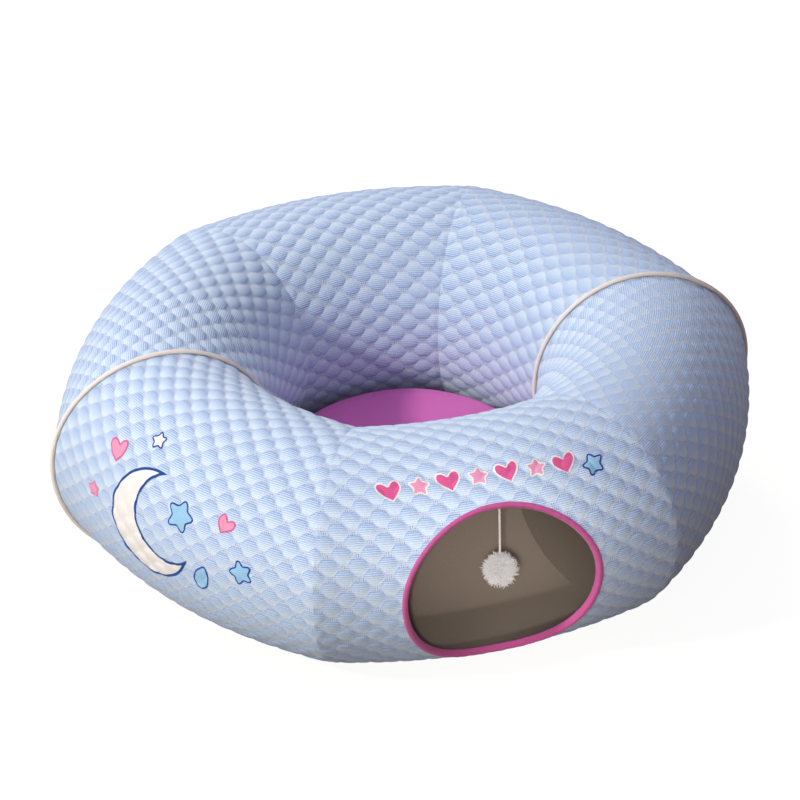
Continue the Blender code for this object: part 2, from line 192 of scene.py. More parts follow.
def lamp(name, place, target, size, power, colour, cone=0.0):
    """A round soft box that faces target, or a soft-edged spot where cone gives its angle in degrees."""
    made = bpy.data.lights.new(name, "SPOT" if cone else "AREA")
    made.energy, made.color = power, colour
    if cone:
        made.shadow_soft_size, made.spot_size, made.spot_blend = size / 2, radians(cone), 1.0
    else:
        made.shape, made.size = "DISK", size
    thing = bpy.data.objects.new(name, made)
    thing.location = place
    bpy.context.scene.collection.objects.link(thing)
    aim(thing, target)


def make_lamps():
    """A small main lamp at the left, a wide fill from the front, a wide lamp behind, and from the viewing
    side a narrow spot on the toy, which also lights the lining behind it."""
    middle = (0, 0, 0.08)
    low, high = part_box("pompom")
    ball = [(a + b) / 2 for a, b in zip(low, high)]
    lamp("key", (-2.855, -0.607, 2.01), middle, size=0.26, power=77.0, colour=(1.0, 0.99, 0.95))
    lamp("fill", (-1.90, -2.00, 0.75), (0.05, -0.2, 0.08), size=1.5, power=27.0, colour=(1.0, 0.98, 0.96))
    lamp("back", (0.20, 2.60, 2.05), middle, size=1.4, power=47.0, colour=(1.0, 0.99, 0.97))
    lamp("toy", (-0.74, -2.57, 1.62), ball, size=0.12, power=178.0, colour=(1.0, 0.965, 0.93), cone=5.4)


# Finishes

def node(tree, kind, inputs=(), **settings):
    """A node with its settings, its inputs given as numbers or as another node's output."""
    made = tree.nodes.new("ShaderNode" + kind)
    for key, value in settings.items():
        setattr(made, key, value)
    for key, value in dict(inputs).items():
        if isinstance(value, bpy.types.NodeSocket):
            tree.links.new(value, made.inputs[key])
        else:
            made.inputs[key].default_value = value
    return made


def calc(tree, operation, *values):
    """A sum, product or other operation on numbers or outputs."""
    return node(tree, "Math", dict(enumerate(values)), operation=operation).outputs[0]


def spread(tree, value, low, high):
    """0 below low and 1 above high with soft ends, or the other way round when low is the greater."""
    return node(
        tree, "MapRange", {"Value": value, "From Min": low, "From Max": high},
        interpolation_type="SMOOTHSTEP",
    ).outputs[0]


def mix(tree, share, first, second):
    """The first colour at share 0 and the second at share 1. Colours are outputs, or written as they
    look."""
    made = tree.nodes.new("ShaderNodeMix")
    made.data_type = "RGBA"
    for index, value in ((0, share), (6, first), (7, second)):
        if isinstance(value, bpy.types.NodeSocket):
            tree.links.new(value, made.inputs[index])
        else:
            made.inputs[index].default_value = value if index == 0 else rgb(value)
    return made.outputs[2]


def rgb(colour):
    """A colour written as it looks, 0 to 255, as the linear numbers of a shader."""
    share = np.array(colour) / 255
    linear = np.where(share < 0.04045, share / 12.92, ((share + 0.055) / 1.055) ** 2.4)
    return (*linear.tolist(), 1.0)


def finish(name, roughness, sheen=0.0, metallic=0.0):
    """A new material with its node tree and its shader."""
    made = bpy.data.materials.new(name)
    made.use_nodes = True
    tree = made.node_tree
    shader = tree.nodes["Principled BSDF"]
    shader.inputs["Roughness"].default_value = roughness
    shader.inputs["Metallic"].default_value = metallic
    shader.inputs["Sheen Weight"].default_value = sheen
    shader.inputs["Specular IOR Level"].default_value = 0.5 if metallic else 0.25
    return made, tree, shader


def colour_in(tree, shader, colour):
    tree.links.new(colour, shader.inputs["Base Color"])


def bump_in(tree, shader, height, distance, strength=1.0):
    made = node(tree, "Bump", {"Height": height, "Distance": distance, "Strength": strength})
    tree.links.new(made.outputs[0], shader.inputs["Normal"])


def cloth_axes(tree):
    """Distances across and along the cloth, in metres, from the piece's own UV map."""
    place = node(tree, "UVMap", uv_map="cloth").outputs[0]
    split = node(tree, "SeparateXYZ", {0: place})
    return split.outputs[0], split.outputs[1]


def wave(tree, value, period, shift=0.0):
    """A cosine of this period, from 0 to 1."""
    turn = calc(tree, "MULTIPLY_ADD", value, 2 * pi / period, shift)
    return calc(tree, "MULTIPLY_ADD", calc(tree, "COSINE", turn), 0.5, 0.5)


def noise(tree, scale, detail=2.0, stretch=(1.0, 1.0, 1.0)):
    """Soft noise on Object coordinates."""
    place = node(tree, "TexCoord").outputs["Object"]
    scaled = node(tree, "Mapping", {"Vector": place, "Scale": stretch}).outputs[0]
    return node(tree, "TexNoise", {"Vector": scaled, "Scale": scale, "Detail": detail}).outputs[0]


def knit_cloth():
    """Puffed jersey: puffs with six sides, as puff() has them, in the knit's pale blue with painted shade
    that makes each puff bluer towards the hole and gives it a painted shaded lip there, fine ribs along the
    ring, and small grey strokes in the necks between the puffs of a column."""
    made, tree, shader = finish("light_blue_knit", 0.85, sheen=0.12)
    across, along = cloth_axes(tree)

    def add(*values):
        return calc(tree, "ADD", *values)

    def times(*values):
        return calc(tree, "MULTIPLY", *values)

    def times_add(*values):
        return calc(tree, "MULTIPLY_ADD", *values)

    sides = []
    for half in (0.0, 0.5):
        a = calc(tree, "WRAP", add(across, 2 * COLUMN * half), COLUMN, -COLUMN)
        b = calc(tree, "WRAP", add(along, PITCH * half), PITCH / 2, -PITCH / 2)
        narrow = times(a, times_add(b, PUFF_TAPER / PUFF_REACH, PUFF_NARROW))
        half_b = times(b, 0.5)
        terms = (
            b,
            times(times_add(narrow, PUFF_STRETCH, half_b), PUFF_LEAN[0]),
            times(times_add(narrow, -PUFF_STRETCH, half_b), PUFF_LEAN[1]),
        )
        powers = [
            calc(tree, "POWER", times(calc(tree, "ABSOLUTE", term), 1 / PUFF_REACH), PUFF_POWER)
            for term in terms
        ]
        sides.append((a, b, calc(tree, "POWER", add(add(powers[0], powers[1]), powers[2]), 1 / PUFF_POWER)))
    first = calc(tree, "LESS_THAN", sides[0][2], sides[1][2])
    a, b, edge = [
        node(tree, "Mix", {0: first, 2: sides[1][i], 3: sides[0][i]}, data_type="FLOAT").outputs[0]
        for i in range(3)
    ]

    # Puffs: fade runs from 0 on the side of the hole to 1 on the far side, and the ramp on it is painted
    # shade, darker blue towards the hole
    fade = times_add(b, 0.5 / PUFF_REACH, 0.5)
    edge = times_add(noise(tree, 800.0), 0.16, add(edge, -0.08))
    far_side = times_add(calc(tree, "MAXIMUM", fade, 0.0), 0.26, 1.02)
    inside = spread(tree, edge, far_side, 0.98)
    ramp = node(tree, "ValToRGB", {0: fade})
    stops = ramp.color_ramp.elements
    stops[0].color, stops[1].color = rgb(PUFF_SHADE_RAMP[0][1]), rgb(PUFF_SHADE_RAMP[-1][1])
    for position, colour in PUFF_SHADE_RAMP[1:-1]:
        stops.new(position).color = rgb(colour)
    rib = wave(tree, along, RIB)
    puff = mix(tree, times(rib, spread(tree, fade, 1.25, 0.10)), ramp.outputs[0], RIB_BLUE)
    # Painted shade: a darker blue lip along each puff's edge on the hole side.
    lip_shade = times(spread(tree, edge, 0.84, 0.99), spread(tree, fade, 0.50, 0.10))
    puff = mix(tree, times(lip_shade, 0.6), puff, PAINTED_LIP_SHADE)

    # Ground between them, with the strokes
    stroke = times(spread(tree, wave(tree, across, STROKE), 0.45, 0.85), spread(tree, rib, 0.30, 0.75))
    neck = times(spread(tree, calc(tree, "ABSOLUTE", a), 0.0066, 0.0046),
                 spread(tree, calc(tree, "ABSOLUTE", b), 0.0056, 0.0064))
    fleck = spread(tree, noise(tree, 900.0), 0.36, 0.52)
    stroke = times(times(stroke, fleck), neck)
    ground = mix(tree, times(rib, 0.5), GROUND_PALE, GROUND_BLUE)
    ground = mix(tree, times(neck, 0.8), ground, NECK_PALE)
    ground = mix(tree, times(stroke, 0.9), ground, STROKE_GREY)
    cloth = mix(tree, inside, ground, puff)
    speck = mix(tree, spread(tree, noise(tree, 1300.0), 0.3, 0.7), SPECK_DARK, SPECK_LIGHT)
    colour_in(tree, shader, mix(tree, 0.16, cloth, speck))
    height = times_add(times(rib, inside), -0.6, times(stroke, -0.8))
    height = times_add(noise(tree, 1400.0), 0.5, height)
    bump_in(tree, shader, height, 0.00035, 0.8)
    return made


def woven(name, dark, light, roughness, period, sheen=0.0):
    """Plain weave on the piece's own UV map: crossed fine threads with a little unevenness."""
    made, tree, shader = finish(name, roughness, sheen)
    across, along = cloth_axes(tree)
    over = calc(tree, "MULTIPLY", wave(tree, across, period), wave(tree, along, period))
    under = calc(tree, "MULTIPLY", wave(tree, across, period, pi), wave(tree, along, period, pi))
    thread = calc(tree, "MAXIMUM", over, under)
    uneven = noise(tree, 700.0, 3.0)
    share = calc(tree, "MULTIPLY_ADD", uneven, 0.45, calc(tree, "MULTIPLY", thread, 0.55))
    colour = mix(tree, share, dark, light)
    cloudy = calc(tree, "MULTIPLY", noise(tree, 9.0), 0.18)
    colour_in(tree, shader, mix(tree, cloudy, colour, dark))
    bump_in(tree, shader, share, period * 0.25, 0.7)
    return made


def foam_finish():
    """Foam with its cells."""
    made, tree, shader = finish("white_foam", 0.9)
    cells = node(tree, "TexVoronoi", {"Vector": node(tree, "TexCoord").outputs["Object"], "Scale": 900.0})
    colour_in(tree, shader, mix(tree, cells.outputs[0], (205, 203, 192), (240, 238, 228)))
    bump_in(tree, shader, cells.outputs[0], 0.0004, 0.8)
    return made


def steel_finish():
    """Drawn spring wire, with a fine grain."""
    made, tree, shader = finish("spring_steel", 0.32, metallic=1.0)
    grain = noise(tree, 500.0, 3.0, (1.0, 1.0, 6.0))
    colour_in(tree, shader, mix(tree, grain, (150, 152, 156), (205, 206, 208)))
    bump_in(tree, shader, grain, 0.0001, 0.4)
    return made


def fluff_finish():
    """Soft yarn. The UV map's first axis gives each strand its own tone, and the second paints light
    towards its tip and shade towards its root."""
    made, tree, shader = finish("off_white_fluff", 0.95, sheen=1.0)
    strand, tip = cloth_axes(tree)
    # Painted light towards each strand's tip, painted shade towards its root.
    share = calc(tree, "MULTIPLY_ADD", strand, 0.55, calc(tree, "MULTIPLY", tip, 0.55))
    colour_in(tree, shader, mix(tree, share, (240, 235, 229), (255, 255, 253)))
    bump_in(tree, shader, noise(tree, 3000.0), 0.0001, 0.5)
    return made


def plain_print(name, colour):
    """Print on the knit: flat ink that lets a little of the threads through."""
    made, tree, shader = finish(name, 0.8, sheen=0.1)
    across, along = cloth_axes(tree)
    rib = wave(tree, along, RIB)
    thread = calc(tree, "MULTIPLY_ADD", noise(tree, 1400.0), 0.6, calc(tree, "MULTIPLY", rib, 0.4))
    darker = tuple(0.86 * part for part in colour)
    colour_in(tree, shader, mix(tree, thread, darker, colour))
    bump_in(tree, shader, thread, 0.0003, 0.7)
    return made


def grip_finish():
    """Dark felt with rows of raised rubber dots."""
    made, tree, shader = finish("grey_non_slip", 0.85)
    place = node(tree, "TexCoord").outputs["Object"]
    split = node(tree, "SeparateXYZ", {0: place})
    dots = calc(tree, "MULTIPLY", wave(tree, split.outputs[0], 0.006), wave(tree, split.outputs[1], 0.006))
    dot = spread(tree, dots, 0.55, 0.65)
    felt = mix(tree, noise(tree, 1200.0), (52, 52, 56), (86, 86, 90))
    colour_in(tree, shader, mix(tree, dot, felt, (38, 38, 42)))
    bump_in(tree, shader, dot, 0.0006, 0.8)
    return made


# Meshes

def grid_faces(rows, columns, around=True, along=False):
    """The rows and columns of the four corners of each face of a grid, and the faces as numbers of its
    points. around closes it across the rows and along closes it from the last row to the first."""
    row = np.arange(rows if along else rows - 1)
    column = np.arange(columns if around else columns - 1)
    i, j = np.meshgrid(row, column, indexing="ij")
    corners = ((i, j), (i, j + 1), (i + 1, j + 1), (i + 1, j))
    faces = np.stack([(r % rows) * columns + c % columns for r, c in corners], -1).reshape(-1, 4)
    return corners, faces


def mesh_piece(name, points, faces, corner_uv, materials, picks=None):
    """A smooth mesh of faces with four corners. corner_uv has a place on the cloth for each corner of each
    face, and picks the number of the material of each face."""
    mesh = bpy.data.meshes.new(name)
    mesh.vertices.add(len(points))
    mesh.vertices.foreach_set("co", points.reshape(-1).astype(np.float32))
    mesh.loops.add(faces.size)
    mesh.loops.foreach_set("vertex_index", faces.reshape(-1).astype(np.int32))
    mesh.polygons.add(len(faces))
    mesh.polygons.foreach_set("loop_start", np.arange(0, faces.size, 4, dtype=np.int32))
    mesh.polygons.foreach_set("use_smooth", np.ones(len(faces), bool))
    if picks is not None:
        mesh.polygons.foreach_set("material_index", picks.astype(np.int32))
    mesh.update(calc_edges=True)
    if corner_uv is not None:
        layer = mesh.uv_layers.new(name="cloth")
        layer.data.foreach_set("uv", corner_uv.reshape(-1).astype(np.float32))
    for material in materials:
        mesh.materials.append(material)
    made = bpy.data.objects.new(name, mesh)
    bpy.context.scene.collection.objects.link(made)
    return made


def grid_piece(name, points, material, uv=None, along=False):
    """A mesh from a grid of points that is closed across its rows, and where along is true also from the
    last row to the first. uv holds one more column or row wherever the grid is closed."""
    rows, columns = points.shape[:2]
    corners, faces = grid_faces(rows, columns, along=along)
    corner_uv = None if uv is None else np.stack([uv[r, c] for r, c in corners], 2)
    return mesh_piece(name, points.reshape(-1, 3), faces, corner_uv, (material,))


def full_turn(count):
    """Angles at even steps round a circle."""
    return np.linspace(0, 2 * pi, count + 1)[:-1]


def lengths_along(line):
    """Distance along a line of points to each of them."""
    return np.concatenate(([0.0], np.cumsum(np.linalg.norm(np.diff(line, axis=0), axis=1))))


def closed_ends(rows):
    """A grid with one more row at each end, gathered on the middle of its end row."""
    first, last = (np.repeat(row.mean(0)[None, None], rows.shape[1], 1) for row in (rows[0], rows[-1]))
    return np.concatenate((first, rows, last))


def turned_about(points, angle):
    """Points turned about the ring's axis."""
    c, s = cos(angle), sin(angle)
    x, y, z = np.moveaxis(points, -1, 0)
    return np.stack((x * c - y * s, x * s + y * c, z), -1)


def smooth_step(value, low, high):
    """0 below low and 1 above high, joined by the cubic with level ends."""
    share = np.clip((value - low) / (high - low), 0, 1)
    return share * share * (3 - 2 * share)


# Ring wall

def at_seams(around, depth=0.0):
    """The wall's radius at a seam, by an ellipse outside the ridge and another inside it, and how round the
    wall is there across the gore: 0 is a straight chord and 1 an arc."""
    out = np.where(np.cos(around) > 0, OUT_REACH, IN_REACH) - depth
    radius = RIDGE_RADIUS + out * np.cos(around)
    outward = (radius - HOLE_WIDTH / 2) / (OUT_REACH + IN_REACH)
    return radius, INNER_ROUND_SHARE + (OUTER_ROUND_SHARE - INNER_ROUND_SHARE) * outward


def crown(angle):
    """A cosine across the gore that makes its middle a little higher."""
    return 1 + CROWN_SHARE * np.cos(pi * angle / GORE_ANGLE)


def wall(turn, around, depth, half_gap=0.0):
    """Place in a gore whose middle lies on +X: turn runs from -1 to 1 from seam to seam, around is the
    angle round the tube from its outer side over the top, depth is the distance below the cover's outside.
    The radius lies between the chord's and the arc's by the roundness, and the height is a sine of around
    times the crown."""
    at_seam, roundness = at_seams(around, depth)
    up = np.where(np.sin(around) > 0, TOP_REACH, LOW_REACH) - depth
    angle = turn * (GORE_ANGLE / 2 - half_gap / at_seam)
    straight = cos(GORE_ANGLE / 2) / np.cos(angle)
    radius = at_seam * ((1 - roundness) * straight + roundness)
    height = WAIST_HEIGHT + up * np.sin(around) * crown(angle)
    return np.stack((radius * np.cos(angle), radius * np.sin(angle), np.maximum(height, depth)), -1)


def wall_normal(turn, around):
    """Outward direction of the wall, from the crossed slopes along its two parameters."""
    step = 1e-4
    along = wall(turn, around + step, 0.0) - wall(turn, around - step, 0.0)
    across = wall(turn + step, around, 0.0) - wall(turn - step, around, 0.0)
    way = np.cross(across, along)
    length = np.linalg.norm(way, axis=-1, keepdims=True)
    return way / np.maximum(length, 1e-12)


ROUND = np.linspace(-pi / 2, 3 * pi / 2, 4001)
LENGTHS = lengths_along(wall(np.zeros_like(ROUND), ROUND, 0.0))
RIDGE_LENGTH = np.interp(pi / 2, ROUND, LENGTHS)


def from_ridge(around):
    """Distance round the tube from the ridge along a gore's middle, outwards positive."""
    return RIDGE_LENGTH - np.interp(around, ROUND, LENGTHS)


def around_at(distance):
    """Angle round the tube at a distance from the ridge."""
    return np.interp(RIDGE_LENGTH - distance, LENGTHS, ROUND)


def puff(across, along):
    """Height share of the knit: over each puff with six sides one less the edge distance to a power,
    rounded off, and higher towards the hole. The edge distance is the power sum of the distances to the
    three pairs of sides. The puff tapers away from the hole, and its slanting sides differ a little, so
    that it leans."""
    best = np.zeros_like(across)
    for half in (0.0, 0.5):
        a = (across + 2 * COLUMN * half + COLUMN) % (2 * COLUMN) - COLUMN
        b = (along + PITCH * half + PITCH / 2) % PITCH - PITCH / 2
        a = a * (PUFF_NARROW + PUFF_TAPER * b / PUFF_REACH)
        slants = ((b / 2 + PUFF_STRETCH * a) * PUFF_LEAN[0], (b / 2 - PUFF_STRETCH * a) * PUFF_LEAN[1])
        terms = np.abs(np.stack((b, *slants))) / PUFF_REACH
        edge = (terms**PUFF_POWER).sum(0) ** (1 / PUFF_POWER)
        rise = np.clip(1 - (edge / PUFF_FOOT) ** PUFF_BEND, 0, 1) ** PUFF_DOME
        best = np.maximum(best, rise * (PUFF_MIDDLE - PUFF_TILT * b / PUFF_REACH))
    return best


def egg_share(points):
    """How far a point of the front gore is from the entrance's middle: 1 on the egg, which is half an
    ellipse above the entrance's waist and half of another below it."""
    across, height = points[..., 1], points[..., 2]
    up, down = ENTRANCE_TOP - ENTRANCE_WAIST, ENTRANCE_WAIST - ENTRANCE_BOTTOM
    reach = np.where(height > ENTRANCE_WAIST, up, down)
    share = np.hypot(across / ENTRANCE_HALF, (height - ENTRANCE_WAIST) / reach)
    return np.where(points[..., 0] > RIDGE_RADIUS, share, 9.0)


def pinched(turn, around, depth):
    """Depth of a layer of the front gore: less beside the entrance, where the binding presses the wall
    thin. That fades out away from the egg, and below the waist before the wall turns under to the tube's
    floor."""
    place = wall(turn, around, 0.0)
    near = 1 - smooth_step(egg_share(place), PINCH_FULL, PINCH_END)
    low = smooth_step(place[..., 0], FOOT_INSIDE, FOOT_OUTSIDE)
    return depth * (1 - PINCH * near * np.where(place[..., 2] > WAIST_HEIGHT, 1.0, low))


def quilted(turn, around, half_gap, front, lift=0.0):
    """Outside of the quilted cover: the wall, raised by the puffs along its outward direction, drawn in at
    the seams, and pressed flat beside the entrance's binding. Returns the points and their distances across
    and along the cloth."""
    flat = wall(turn, around, 0.0, half_gap)
    across, along = flat[..., 1], from_ridge(around)
    at_seam = np.hypot(flat[..., 0], flat[..., 1])
    to_seam = at_seam * GORE_ANGLE / 2 * (1 - np.abs(turn))
    near = np.exp(-(to_seam / SEAM_SPREAD) ** 2)
    rise = PUFF_HEIGHT * puff(across, along) * (1 - SEAM_FLAT * near) - PUFF_SINK
    if front:
        beside = smooth_step(egg_share(flat), PUFFS_FROM, PUFFS_FULL)
        rise = rise * beside - CLEAR * (1 - beside)
    points = flat + wall_normal(turn, around) * (rise + lift)[..., None]
    points[..., 2] = np.maximum(points[..., 2], CLEAR)
    return points, np.stack((across, along), -1)


def gore_gaps(gore):
    """Half of the gap left for piping at the gore's low and high seams."""
    low, high = PIPED_GORES.get(gore, (0, 0))
    return PIPED_GAP * low, PIPED_GAP * high


def gore_middle(gore):
    """Angle from +X to the gore's middle."""
    return -pi / 2 + gore * GORE_ANGLE


def shell(gore, outer, depth, columns, rows, back_columns):
    """A gore's layer as one closed skin: the outer face from seam to seam, and a plain inner face back.
    outer(turn, around, gap) gives the outer face, and depth is that of the inner one."""
    around = np.interp(np.linspace(0.0, LENGTHS[-1], rows + 1), LENGTHS, ROUND)
    low, high = gore_gaps(gore)
    turns, rounds = np.meshgrid(np.linspace(-1.0, 1.0, columns), around)
    face, uv = outer(turns, rounds, np.where(turns < 0, low, high))
    turns, rounds = np.meshgrid(np.linspace(1.0, -1.0, back_columns), around)
    if gore == FRONT_GORE:
        depth = pinched(turns, rounds, depth)
    inner = wall(turns, rounds, depth, np.where(turns < 0, low, high))
    inner_uv = np.stack((inner[..., 1], from_ridge(rounds)), -1)
    points = np.concatenate((face, inner), 1)[:-1]
    uv = np.concatenate((uv, inner_uv, uv[:, :1]), 1)
    return turned_about(points, gore_middle(gore)), uv


def egg_edge(angle, inset, depth):
    """The entrance's egg on the front gore, at a depth below the cover's outside. It is drawn in by inset
    along the wall, so by less in height where the wall leans."""
    edge = np.where(np.sin(angle) > 0, ENTRANCE_TOP, ENTRANCE_BOTTOM)
    lean = np.cos(on_outer_wall(np.zeros_like(edge), edge)[1])
    half_height = np.abs(edge - ENTRANCE_WAIST) - inset * lean
    height = ENTRANCE_WAIST + half_height * np.sin(angle)
    return wall(*on_outer_wall((ENTRANCE_HALF - inset) * np.cos(angle), height), depth)


def on_outer_wall(across, height):
    """Turn and angle round the tube of a place on the outer wall, given in front view. Each round takes the
    turn from the radius that the last turn gives, until both agree."""
    turn = np.zeros(np.broadcast(across, height).shape)
    for _ in range(40):
        reach = np.where(height > WAIST_HEIGHT, TOP_REACH, LOW_REACH)
        around = np.arcsin((height - WAIST_HEIGHT) / (reach * crown(turn * GORE_ANGLE / 2)))
        place = wall(turn, around, 0.0)
        radius = np.hypot(place[..., 0], place[..., 1])
        turn = np.arcsin(across / radius) / (GORE_ANGLE / 2)
    return turn, around


def egg_plug():
    """A plug through the wall along the cut edge of the entrance: rings of the egg from well outside the
    wall to well inside it, closed at both ends on their middle."""
    before, beyond, clear = -0.030, 0.035, 0.0004
    angles, depths = np.meshgrid(full_turn(160), np.array((before, -clear, WALL_DEPTH + clear, beyond)))
    rings = egg_edge(angles, BINDING_LAP, depths)
    plug = grid_piece("entrance_plug", turned_about(closed_ends(rings), gore_middle(FRONT_GORE)), None)
    clean(plug)
    return plug


def clean(made):
    """Joins doubled points, such as at a pole, and turns every face outwards."""
    bm = bmesh.new()
    bm.from_mesh(made.data)
    bmesh.ops.remove_doubles(bm, verts=bm.verts, dist=1e-6)
    bmesh.ops.recalc_face_normals(bm, faces=bm.faces)
    bm.to_mesh(made.data)
    bm.free()


def crease(made):
    """Keeps the corner between a face and its narrow side sharp."""
    made.data.set_sharp_from_angle(angle=radians(65))


def cut_out(made, plug):
    """Takes the plug's space out of a piece."""
    modifier = made.modifiers.new("entrance", "BOOLEAN")
    modifier.operation, modifier.solver, modifier.object = "DIFFERENCE", "EXACT", plug
    bpy.context.view_layer.update()
    graph = bpy.context.evaluated_depsgraph_get()
    mesh = bpy.data.meshes.new_from_object(made.evaluated_get(graph))
    made.modifiers.clear()
    made.data = mesh


def quilted_face(front):
    """The cover's outer face, as shell takes it."""
    def face(turn, around, gap):
        return quilted(turn, around, gap, front)
    return face


def plain_face(front, depth):
    """The outer face of a layer without puffs, as shell takes it."""
    def face(turn, around, gap):
        points = wall(turn, around, pinched(turn, around, depth) if front else depth, gap)
        return points, np.stack((points[..., 1], from_ridge(around)), -1)
    return face


def make_walls(plug):
    """Cover, foam and lining of each gore. The entrance is cut out of those of the front gore."""
    for gore in range(GORES):
        front = gore == FRONT_GORE
        plain = 96 if front else 42
        # Names and finish, outer face, depth of the inner face, and the columns and rows of both
        layers = (
            ("quilted_cover", "cover", KNIT, "knit", quilted_face(front), COVER_THICKNESS,
             (168, 432, plain // 3)),
            ("foam_sheet", "foam", FOAM, "foam", plain_face(front, FOAM_DEPTH), FOAM_DEPTH + FOAM_THICKNESS,
             (plain, 120, plain)),
            ("smooth_lining", "lining", LINING, "lining", plain_face(front, LINING_DEPTH), WALL_DEPTH,
             (plain, 200, plain)),
        )
        for name, layer, material, slot, outer, depth, counts in layers:
            points, uv = shell(gore, outer, depth, *counts)
            made = grid_piece(f"{name}_{gore + 1}", points, material, uv, along=True)
            face_out(made)
            if front:
                cut_out(made, plug)
            crease(made)
            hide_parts(f"{layer}_{gore + 1}")
            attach(made, "ring")


def face_out(made):
    """Turns the faces round when the closed mesh is inside out, which makes its volume, the sum of the
    corners' triple products, negative."""
    mesh = made.data
    points = np.empty(len(mesh.vertices) * 3, np.float32)
    mesh.vertices.foreach_get("co", points)
    points = points.reshape(-1, 3).astype(float)
    corners = np.empty(len(mesh.loops), np.int32)
    mesh.loops.foreach_get("vertex_index", corners)
    a, b, c, d = points[corners.reshape(-1, 4)].transpose(1, 0, 2)
    volume = (np.einsum("ij,ij->i", a, np.cross(b, c)) + np.einsum("ij,ij->i", a, np.cross(c, d))).sum()
    if volume < 0:
        mesh.flip_normals()


# Prints

def rounded(loop):
    """The loop with each point moved to the weighted mean of its neighbours."""
    width = 15
    window = np.hanning(width) / np.hanning(width).sum()
    padded = np.concatenate((loop[-width:], loop, loop[:width]))
    return np.stack([np.convolve(padded[:, i], window, "same")[width:-width] for i in (0, 1)], -1)


def heart(angle):
    """A power of the sine across and the four-term cosine sum up, brought to a half width of about one."""
    up = 13 * np.cos(angle) - 5 * np.cos(2 * angle) - 2 * np.cos(3 * angle) - np.cos(4 * angle)
    across = 16 * np.sign(np.sin(angle)) * np.abs(np.sin(angle)) ** 2.1
    return rounded(np.stack((across, up + 2), -1) / 16)


def star(angle):
    """Five points with straight sides: the reach falls and rises evenly ten times round the outline."""
    step = (angle / (2 * pi) * 10) % 2
    reach = 1 - 0.46 * np.where(step < 1, step, 2 - step)
    return rounded(np.stack((np.sin(angle), np.cos(angle)), -1) * reach[:, None])


def drop(angle):
    """A circle whose upper half is drawn out by a quarter and narrowed towards its top."""
    up = np.cos(angle)
    across = 0.72 * np.sin(angle) * (1 - 0.35 * np.maximum(up, 0) ** 1.5)
    return np.stack((across, up * (1 + 0.25 * (up > 0))), -1)


def crescent(steps, inset):
    """Points along the outer arc from tip to tip, and as many back along the inner arc, whose circle is
    smaller and set to one side. inset draws the outer arc in and the inner arc out."""
    outer, inner, side = 1.0 - inset, 0.78 + inset, 0.50
    reach = np.arccos((outer**2 + side**2 - inner**2) / (2 * outer * side))
    back = np.arctan2(outer * np.sin(reach), outer * np.cos(reach) - side)
    go = np.linspace(reach, 2 * pi - reach, steps)
    come = np.linspace(2 * pi - back, back, steps)
    there = outer * np.stack((np.cos(go), np.sin(go)), -1)
    home = inner * np.stack((np.cos(come), np.sin(come)), -1) + (side, 0)
    return np.concatenate((there, home))


def motif_sheets(shape, size, line):
    """Two flat grids of a motif, the fill and the line round it, as rows from the edge inwards. The line
    runs between the outline and the same outline drawn in."""
    steps = 120
    if shape == "crescent":
        edge, fill = (crescent(steps, inset / size) for inset in (0.0, CRESCENT_LINE_SHARE * line))
        rows = np.linspace(0, 1, 24)[:, None, None]
        inner = fill[:steps][None] * (1 - rows) + fill[steps:][::-1][None] * rows
    else:
        edge = {"heart": heart, "star": star, "drop": drop}[shape](full_turn(steps))
        way = np.roll(edge, -1, 0) - np.roll(edge, 1, 0)
        way = np.stack((way[:, 1], -way[:, 0]), -1) / np.linalg.norm(way, axis=1, keepdims=True)
        fill = edge + way * line / size
        inner = fill[None] * np.linspace(1, 0.02, max(6, int(size / PRINT_ROW)))[:, None, None]
    rows = np.linspace(0, 1, 4)[:, None, None]
    rim = edge[None] * (1 - rows) + fill[None] * rows
    return (inner * size, shape != "crescent"), (rim * size, True)


def on_gore(across, along, gore):
    """Places on the quilted cover for distances across and along its cloth. The turn is found by Newton's
    rule."""
    around = around_at(along)
    at_seam, roundness = at_seams(around)
    straight = (1 - roundness) * cos(GORE_ANGLE / 2)
    angle = across / at_seam
    for _ in range(8):
        miss = at_seam * (straight * np.tan(angle) + roundness * np.sin(angle)) - across
        angle = angle - miss / (at_seam * (straight / np.cos(angle) ** 2 + roundness * np.cos(angle)))
    points, uv = quilted(angle / (GORE_ANGLE / 2), around, 0.0, gore == FRONT_GORE, PRINT_LIFT)
    return turned_about(points, gore_middle(gore)), uv


def make_prints(name, gore, motifs):
    """Motifs as (shape, across, along, size, tilt, fill ink, line ink), joined into one piece whose faces
    are turned away from the tube's middle line."""
    order = list(INKS)
    points, uvs, faces, picks, count = [], [], [], [], 0
    for shape, across, along, size, tilt, *inks in motifs:
        width = PRINT_LINE if size > SMALL_MOTIF else SMALL_LINE_SHARE * PRINT_LINE
        for (flat, closed), ink in zip(motif_sheets(shape, size, width), inks):
            c, s = cos(tilt), sin(tilt)
            right = flat[..., 0] * c - flat[..., 1] * s
            up = flat[..., 0] * s + flat[..., 1] * c
            place, uv = on_gore(across + right, along - up, gore)
            _, face = grid_faces(*place.shape[:2], around=closed)
            faces.append(face + count)
            points.append(place.reshape(-1, 3))
            uvs.append(uv.reshape(-1, 2))
            picks.append(np.full(len(face), order.index(ink)))
            count += len(points[-1])
    points, uvs, faces = np.concatenate(points), np.concatenate(uvs), np.concatenate(faces)
    a, b, c = (points[faces[:, i]] for i in range(3))
    middle = (a + b + c) / 3
    ridge = middle * (1, 1, 0) / np.linalg.norm(middle[:, :2], axis=1, keepdims=True) * RIDGE_RADIUS
    outwards = np.einsum("ij,ij->i", np.cross(b - a, c - a), middle - ridge - (0, 0, WAIST_HEIGHT))
    faces = np.where((outwards < 0)[:, None], faces[:, ::-1], faces)
    made = mesh_piece(name, points, faces, uvs[faces.reshape(-1)], INKS.values(), np.concatenate(picks))
    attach(made, "ring")
    return made


